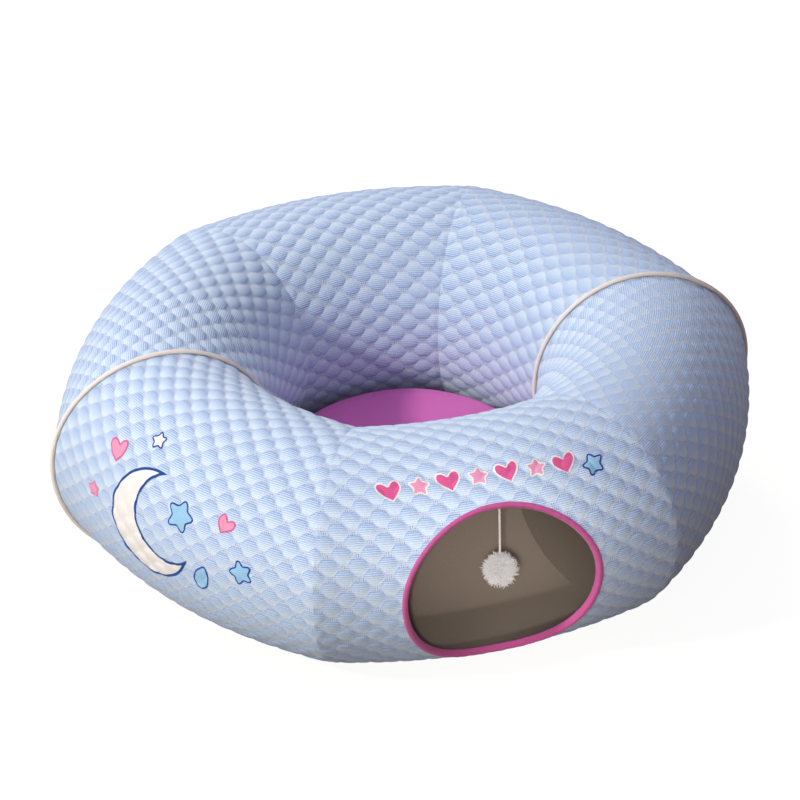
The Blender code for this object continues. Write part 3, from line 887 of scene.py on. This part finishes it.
SIDE_PRINTS = (
    ("crescent", -0.012, 0.128, 0.046, 0.55, "cream", "navy"),
    ("star", 0.020, 0.108, 0.0150, -0.2, "pale blue", "navy"),
    ("heart", -0.066, 0.086, 0.0105, 0.25, "pink", "rose"),
    ("star", -0.030, 0.062, 0.0085, 0.3, "cream", "navy"),
    ("heart", 0.064, 0.100, 0.0085, -0.35, "pink", "rose"),
    ("star", 0.086, 0.134, 0.0120, 0.4, "pale blue", "navy"),
    ("drop", 0.046, 0.154, 0.0105, -0.3, "pale blue", "navy"),
    ("star", -0.084, 0.128, 0.0075, 0.1, "pink", "rose"),
)


def arched_row(count=7):
    """Hearts and stars in turn at even steps across the front gore, on the rise and fall of half a sine."""
    start, step, base, rise, tilt = -0.079, 0.0236, 0.0530, 0.004, 0.12
    kinds = (("heart", 0.0104, "rose"), ("star", 0.0094, "pink"))
    for i in range(count):
        shape, size, ink = kinds[i % 2]
        along = base - rise * sin(pi * i / (count - 1))
        yield shape, start + step * i, along, size, tilt * (-1) ** i, ink, "cream"


FRONT_PRINTS = (*arched_row(), ("star", 0.086, 0.060, 0.0105, 0.25, "pale blue", "navy"))


# Trim

def sweep(name, places, material, node_name, uv, closed=True, body="ring"):
    """A closed profile carried along a line: places is a grid with one row for each step along it. An open
    sweep is closed at both ends on the middle of its end rows."""
    if not closed:
        places = closed_ends(places)
        uv = np.concatenate((uv[:1], uv, uv[-1:]))
    made = grid_piece(name, places, material, uv, along=closed)
    face_out(made)
    if not closed:
        clean(made)
    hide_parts(node_name)
    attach(made, body)
    return made


def sweep_uv(lengths, girth, columns, closed):
    """Distances round and along a swept piece, with one more row where its line is closed."""
    rows = np.append(lengths, 2 * lengths[-1] - lengths[-2]) if closed else lengths
    return np.stack(np.meshgrid(np.linspace(0, girth, columns + 1), rows), -1)


def make_binding():
    """Folded tape round the cut edge: a domed lap outside, a rounded fold, and a lap inside, with small
    gathers from the product of two sines. The profile's points are (how far inwards from the egg, how
    deep)."""
    inside = WALL_DEPTH * (1 - PINCH) + 0.0004
    outer = [
        (0.0006, -0.0002), (0.0008, -0.0007), (0.0014, -0.0012), (0.0022, -0.0015), (0.0032, -0.0015),
        (0.0042, -0.0012), (0.0049, -0.0003), (0.0051, 0.0012),
    ]
    inner = [
        (0.0051, inside - 0.0010), (0.0050, inside + 0.0004), (0.0044, inside + 0.0011),
        (0.0020, inside + 0.0012), (0.0, inside + 0.0008), (0.0, inside),
        (0.0030, inside - 0.0001), (0.0042, inside - 0.0004), (0.0042, 0.0), (0.0036, -0.0003),
        (0.0012, -0.0002),
    ]
    profile = np.array(outer + inner)
    angles, picks = np.meshgrid(full_turn(720), np.arange(len(profile)), indexing="ij")
    inset, depth = profile[picks, 0], profile[picks, 1]
    gather = GATHER * np.sin(46 * angles) * np.sin(17 * angles + 1.0)
    raised = np.where(depth < 0, 1.0, 0.0) * smooth_step(inset, 0.0002, 0.0015)
    edge = egg_edge(angles, inset + gather * raised, depth - gather * raised)
    places = turned_about(edge, gore_middle(FRONT_GORE))
    lengths = lengths_along(places[:, 4])
    girth = lengths_along(profile)
    columns, rows = np.append(girth, girth[-1] + 0.001), np.append(lengths, lengths[-1] + lengths[1])
    uv = np.stack(np.meshgrid(columns, rows), -1)
    sweep("entrance_binding_tape", places, BINDING, "entrance_binding", uv)


def over_seam(around, across, above):
    """Place over a seam on +X: across it, and above the cover's outside."""
    at = turned_about(wall(np.ones_like(around), around, -above), -GORE_ANGLE / 2)
    at[..., 1] = across
    return at


def make_piping():
    """A cord in a bias strip: a round bead on a stem that goes down into the seam. It ends where the bead
    meets the floor."""
    lowest = -np.arcsin((WAIST_HEIGHT - PIPING_RADIUS) / (LOW_REACH + PIPING_RISE))
    around = np.linspace(lowest, pi - lowest, 420)
    turn = np.linspace(-pi / 2 + PIPING_OPEN, 3 * pi / 2 - PIPING_OPEN, 19)
    bead = np.stack((PIPING_RADIUS * np.cos(turn), PIPING_RISE + PIPING_RADIUS * np.sin(turn)), -1)
    stem = [(-PIPING_STEM_HALF, -COVER_THICKNESS), (PIPING_STEM_HALF, -COVER_THICKNESS)]
    profile = np.concatenate((bead, stem))
    rounds, picks = np.meshgrid(around, np.arange(len(profile)), indexing="ij")
    places = over_seam(rounds, profile[picks, 0], profile[picks, 1])
    uv = sweep_uv(lengths_along(places[:, 9]), 0.012, len(profile), False)
    for side, turned in PIPED_SEAMS:
        at = turned_about(places, turned)
        sweep(f"cord_piping_{side}", at, PIPING, f"piping_{side}", uv, False)


def make_sleeves():
    """A strip of lining sewn over the hoop on each side of it, with a domed channel for the wire. The
    profile's points are (across the seam, how deep), for the strip's outside and back along the channel."""
    flat = WALL_DEPTH + 0.0003
    half = [
        (0.0072, flat), (0.0072, flat + 0.0007), (0.0024, flat + 0.0007), (0.0021, flat + 0.0020),
        (0.0012, flat + 0.0036), (0.0, flat + 0.0038),
    ]
    channel = [
        (-0.0015, flat), (-0.0012, flat + 0.0026), (0.0, flat + 0.0031), (0.0012, flat + 0.0026),
        (0.0015, flat),
    ]
    profile = np.array(half + [(-a, d) for a, d in half[-2::-1]] + channel)
    rounds, picks = np.meshgrid(full_turn(240), np.arange(len(profile)), indexing="ij")
    across, depth = profile[picks, 0], profile[picks, 1]
    at_seam = np.hypot(*np.moveaxis(wall(np.ones_like(rounds), rounds, depth)[..., :2], -1, 0))
    turn = 1 - np.abs(across) / (at_seam * GORE_ANGLE / 2)
    at = turned_about(wall(turn, rounds, depth), -GORE_ANGLE / 2)
    at[..., 1] = np.where(across > 0, -at[..., 1], at[..., 1])
    uv = sweep_uv(lengths_along(at[:, 5]), 0.03, len(profile), True)
    for side, turned in PIPED_SEAMS:
        sweep(f"wire_sleeve_{side}", turned_about(at, turned), LINING, f"hoop_sleeve_{side}", uv)


# Toy

def tube_round(line, radius, columns):
    """Places on a round tube along a line. Each ring stands on two directions square to the line, the first
    of them also square to one fixed direction."""
    way = np.gradient(line, axis=0)
    way /= np.linalg.norm(way, axis=1, keepdims=True)
    side = np.cross(way, (0.31, 0.62, 0.72))
    side /= np.linalg.norm(side, axis=1, keepdims=True)
    other = np.cross(way, side)
    turn = full_turn(columns)
    ring = side[:, None] * np.cos(turn)[None, :, None] + other[:, None] * np.sin(turn)[None, :, None]
    return line[:, None] + ring * radius


def signed_power(value, power):
    """The power of the value's size, with the value's sign."""
    return np.sign(value) * np.abs(value) ** power


def make_tab():
    """A tape from under the binding up the lining. Its section is an oblong with rounded corners, from
    powers of the cosine and the sine."""
    length = TAB_LENGTH * np.linspace(0, 1, 9)
    turn = full_turn(16)
    across = TAB_MIDDLE + TAB_HALF_WIDTH * signed_power(np.cos(turn), 0.4)
    depth = TAB_HALF_THICKNESS * (1 + signed_power(np.sin(turn), 0.6))
    ups, picks = np.meshgrid(length, np.arange(len(turn)), indexing="ij")
    places = wall(*on_outer_wall(across[picks], ENTRANCE_TOP + 0.0005 + ups), TAB_DEPTH + depth[picks])
    uv = sweep_uv(length, 0.014, len(turn), False)
    at = turned_about(places, gore_middle(FRONT_GORE))
    sweep("toy_tape_tab", at, BINDING, "toy_tab", uv, False)


def make_knot():
    """A strand on a trefoil: in plan the sine plus twice the sine of the double angle against the cosine
    less twice the cosine of the double angle, and in height the sine of the triple angle."""
    turn = full_turn(96)
    trefoil = np.stack(
        (np.sin(turn) + 2 * np.sin(2 * turn), np.cos(turn) - 2 * np.cos(2 * turn), -np.sin(3 * turn)), -1,
    )
    line = PIVOT + trefoil * (KNOT_RADIUS - KNOT_STRAND_RADIUS) / 3
    line = np.concatenate((line, line[:1]))
    places = tube_round(line, KNOT_STRAND_RADIUS, 8)
    uv = sweep_uv(np.linspace(0, 0.012, len(line)), 0.003, 8, False)
    sweep("tied_knot", places, STRING, "toy_knot", uv, False, body="knot")


def make_toy():
    """A tab under the binding, a knot in it, a twisted string and a ball of yarn ends. The string's section
    has three plies, a cosine of three times the angle, which turn once in each twist."""
    make_tab()
    make_knot()

    drops = np.linspace(STRING_TOP, STRING_END, 140)
    line = PIVOT + np.stack((0 * drops, 0 * drops, drops), -1)
    turn = full_turn(18)
    ply = np.cos(3 * turn[None] + 2 * pi * drops[:, None] / STRING_TWIST)
    radius = STRING_RADIUS * (0.90 + 0.10 * ply)
    ring = np.stack((np.cos(turn), np.sin(turn), 0 * turn), -1)
    places = line[:, None] + ring[None] * radius[..., None]
    uv = sweep_uv(-drops, 2 * pi * STRING_RADIUS, len(turn), False)
    string = sweep("twisted_string", places, STRING, "toy_string", uv, False, body="toy")

    pompom = make_pompom()


def make_pompom():
    """Many tapered strands from a small core: each leaves it in its own direction, bends a little sideways
    as it goes out, by a power of the share of its length, and ends near the ball's radius."""
    random = np.random.default_rng(7)
    count, rings, sides = 2300, 8, 4
    height = random.uniform(-1, 1, count)
    turn = random.uniform(0, 2 * pi, count)
    level = np.sqrt(1 - height**2)
    way = np.stack((level * np.cos(turn), level * np.sin(turn), height), -1)
    bend = np.cross(way, random.normal(size=(count, 3)))
    bend /= np.linalg.norm(bend, axis=1, keepdims=True)
    other = np.cross(way, bend)
    reach = POMPOM_RADIUS * random.uniform(0.58, 0.90, count)
    share = np.linspace(0.0, 1.0, rings)
    radial = POMPOM_CORE + (reach[:, None] - POMPOM_CORE) * share
    curl = random.uniform(0.0020, 0.0085, count)[:, None] * share**2.2
    wiggle = 0.0007 * np.sin(share * 8 + turn[:, None])
    line = way[:, None] * radial[..., None] + bend[:, None] * curl[..., None]
    line = line + other[:, None] * wiggle[..., None]
    thick = STRAND_RADIUS * (1.0 - 0.5 * share)
    angle = full_turn(sides)
    ring = bend[:, None] * np.cos(angle)[None, :, None] + other[:, None] * np.sin(angle)[None, :, None]
    points = line[:, :, None] + ring[:, None] * thick[None, :, None, None]
    points = points + PIVOT - (0, 0, POMPOM_DROP)
    start = np.arange(count)[:, None, None] * rings * sides
    faces = (start + grid_faces(rings, sides)[1]).reshape(-1, 4)
    shade = np.repeat(random.uniform(0, 1, count), rings * sides)
    # The share from root to tip, which the fluff's finish turns into painted light towards the tip.
    along = np.tile(np.repeat(share, sides), count)
    uv = np.stack((shade, along), -1)[faces.reshape(-1)]
    made = mesh_piece("yarn_pompom", points.reshape(-1, 3), faces, uv, (FLUFF,))
    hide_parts("pompom")
    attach(made, "toy")
    return made


# Mat

def mat_skin(name, outline, material, node_name, columns=240):
    """An outline of radius and height turned about the axis, with slight rises and hollows in its top, from
    products of sines. The cloth's own axes lie flat over the top, and run round and down the side."""
    radius, height = np.array(outline).T
    turns, picks = np.meshgrid(full_turn(columns), np.arange(len(radius)), indexing="ij")
    r, z = radius[picks], height[picks]
    soft = smooth_step(z, 0.040, 0.056) * smooth_step(r, 0.004, 0.03)
    waves = np.sin(3 * turns + 0.6) * np.sin(40 * r) + 0.5 * np.sin(7 * turns + 55 * r)
    points = np.stack((r * np.cos(turns), r * np.sin(turns), z + soft * MAT_HOLLOWS * waves), -1)
    girth = lengths_along(np.stack((radius, height), -1))
    rows = np.linspace(0, 2 * pi * MAT_RADIUS, columns + 1)
    round_side = np.stack(np.meshgrid(np.append(girth, girth[-1]), rows), -1)
    over_top = np.pad(points[..., :2], ((0, 1), (0, 1), (0, 0)), "wrap")
    top = (np.arange(len(radius) + 1) < MAT_TOP_STEPS)[None, :, None]
    made = grid_piece(name, points, material, np.where(top, over_top, round_side), along=True)
    clean(made)
    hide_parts(node_name)
    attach(made, "mat")
    return made


def mat_outline(inset):
    """Crowned top by a parabola, quarter-round edge, and a side that swells by half a sine, from the middle
    of the top to the foot. inset draws it all in."""
    radius = MAT_RADIUS - MAT_SWELL - inset
    rim, edge = MAT_RIM - inset, MAT_EDGE - inset
    share = np.linspace(0, 1, MAT_TOP_STEPS + 1)[:-1]
    top = [((radius - edge) * s, rim + MAT_CROWN * (1 - s * s)) for s in share]
    bend = np.linspace(0, pi / 2, 14)
    corner = [(radius - edge + edge * sin(b), rim - edge + edge * cos(b)) for b in bend]
    down = np.linspace(0, 1, 16)[1:]
    side = [(radius + MAT_SWELL * sin(pi * s), rim - edge + (MAT_FOOT - rim + edge) * s) for s in down]
    return top + corner + side


def make_mat():
    """A padded cover over a foam core, on a base with rubber dots."""
    skin = mat_outline(0.0) + mat_outline(MAT_COVER_THICKNESS)[::-1]
    cover = mat_skin("mat_cushion", skin, MAT, "mat_cover")
    inside = mat_outline(MAT_CORE_INSET) + [(0.0, MAT_FOOT)]
    core_piece = mat_skin("mat_foam_core", inside, FOAM, "mat_core", 120)
    radius, top, bevel = MAT_BASE_RADIUS, MAT_BASE_TOP, MAT_BASE_BEVEL
    base = [
        (0.0, top), (radius - bevel, top), (radius, top - bevel),
        (radius, bevel), (radius - bevel, 0.0), (0.0, 0.0),
    ]
    mat_skin("mat_grip_base", base, MAT_BASE, "mat_base", 120)


# Floor and world

def seen_directly(tree):
    """1 for a ray from the camera, also by way of metal or glass, and 0 for one that lights the object."""
    path = node(tree, "LightPath")
    shiny = calc(tree, "MAXIMUM", path.outputs["Is Glossy Ray"], path.outputs["Is Transmission Ray"])
    return calc(tree, "MAXIMUM", path.outputs["Is Camera Ray"], shiny)


def make_floor():
    """A floor that the camera sees nearly white, with the object's shadow on it."""
    r = FLOOR_REACH
    mesh = bpy.data.meshes.new("floor")
    mesh.from_pydata([(-r, -r, 0), (r, -r, 0), (r, r, 0), (-r, r, 0)], [], [(0, 1, 2, 3)])
    floor = bpy.data.objects.new("floor", mesh)
    floor.location.z = -FLOOR_DROP
    bpy.context.scene.collection.objects.link(floor)
    made = bpy.data.materials.new("pale_floor")
    made.use_nodes = True
    tree = made.node_tree
    shader = tree.nodes["Principled BSDF"]
    shader.inputs["Base Color"].default_value = FLOOR_COLOUR
    shader.inputs["Roughness"].default_value = 0.9
    strength = calc(tree, "MULTIPLY", seen_directly(tree), FLOOR_GLOW)
    glow = node(tree, "Emission", {"Color": (1, 1, 1, 1), "Strength": strength})
    both = node(tree, "AddShader", {0: shader.outputs[0], 1: glow.outputs[0]})
    tree.links.new(both.outputs[0], tree.nodes["Material Output"].inputs[0])
    mesh.materials.append(made)


def make_world():
    """White to the camera, and to the object a dim sky, warm at the horizon and cool above."""
    world = bpy.data.worlds.new("studio")
    bpy.context.scene.world = world
    world.use_nodes = True
    tree = world.node_tree
    up = node(tree, "SeparateXYZ", {0: node(tree, "TexCoord").outputs["Generated"]}).outputs[2]
    high = spread(tree, up, HORIZON, ZENITH)
    sky = mix(tree, high, SKY_WARM, SKY_COOL)
    strength = calc(tree, "MULTIPLY_ADD", high, SKY_GAIN, SKY_LEVEL)
    soft = node(tree, "Background", {"Color": sky, "Strength": strength})
    white = node(tree, "Background", {"Color": (1, 1, 1, 1), "Strength": 1.0})
    both = node(tree, "MixShader", {0: seen_directly(tree), 1: soft.outputs[0], 2: white.outputs[0]})
    tree.links.new(both.outputs[0], tree.nodes["World Output"].inputs[0])


bpy.context.scene.view_settings.view_transform = "Standard"
make_camera()
KNIT = knit_cloth()
FOAM = foam_finish()
LINING = woven("taupe_lining", (146, 132, 118), (176, 162, 148), roughness=0.9, period=0.0009)
PIPING = woven("cream_piping", (226, 210, 192), (252, 246, 238), roughness=0.8, period=0.0010)
BINDING = woven("magenta_binding", (158, 58, 112), (212, 100, 164), roughness=0.7, period=0.0009, sheen=0.2)
STRING = woven("cream_string", (222, 214, 204), (252, 247, 240), roughness=0.85, period=0.0006)
FLUFF = fluff_finish()
MAT = woven("magenta_mat", (222, 98, 178), (248, 132, 202), roughness=0.8, period=0.0010, sheen=0.1)
MAT_BASE = grip_finish()
STEEL = steel_finish()
INKS = {
    "cream": plain_print("cream_ink", (246, 242, 236)),
    "navy": plain_print("navy_ink", (26, 72, 150)),
    "pink": plain_print("pink_ink", (240, 158, 190)),
    "rose": plain_print("rose_ink", (226, 92, 150)),
    "pale blue": plain_print("pale_blue_ink", (158, 206, 238)),
}

make_toy()
plug = egg_plug()
make_walls(plug)
bpy.data.objects.remove(plug, do_unlink=True)
make_prints("side_prints", SIDE_GORE, SIDE_PRINTS)
make_prints("front_prints", FRONT_GORE, FRONT_PRINTS)
make_binding()
make_piping()
make_sleeves()
make_mat()
for side in ("right", "left"):
    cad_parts[f"hoop_{side}"].material_slots[0].material = STEEL

make_floor()
make_world()
make_lamps()
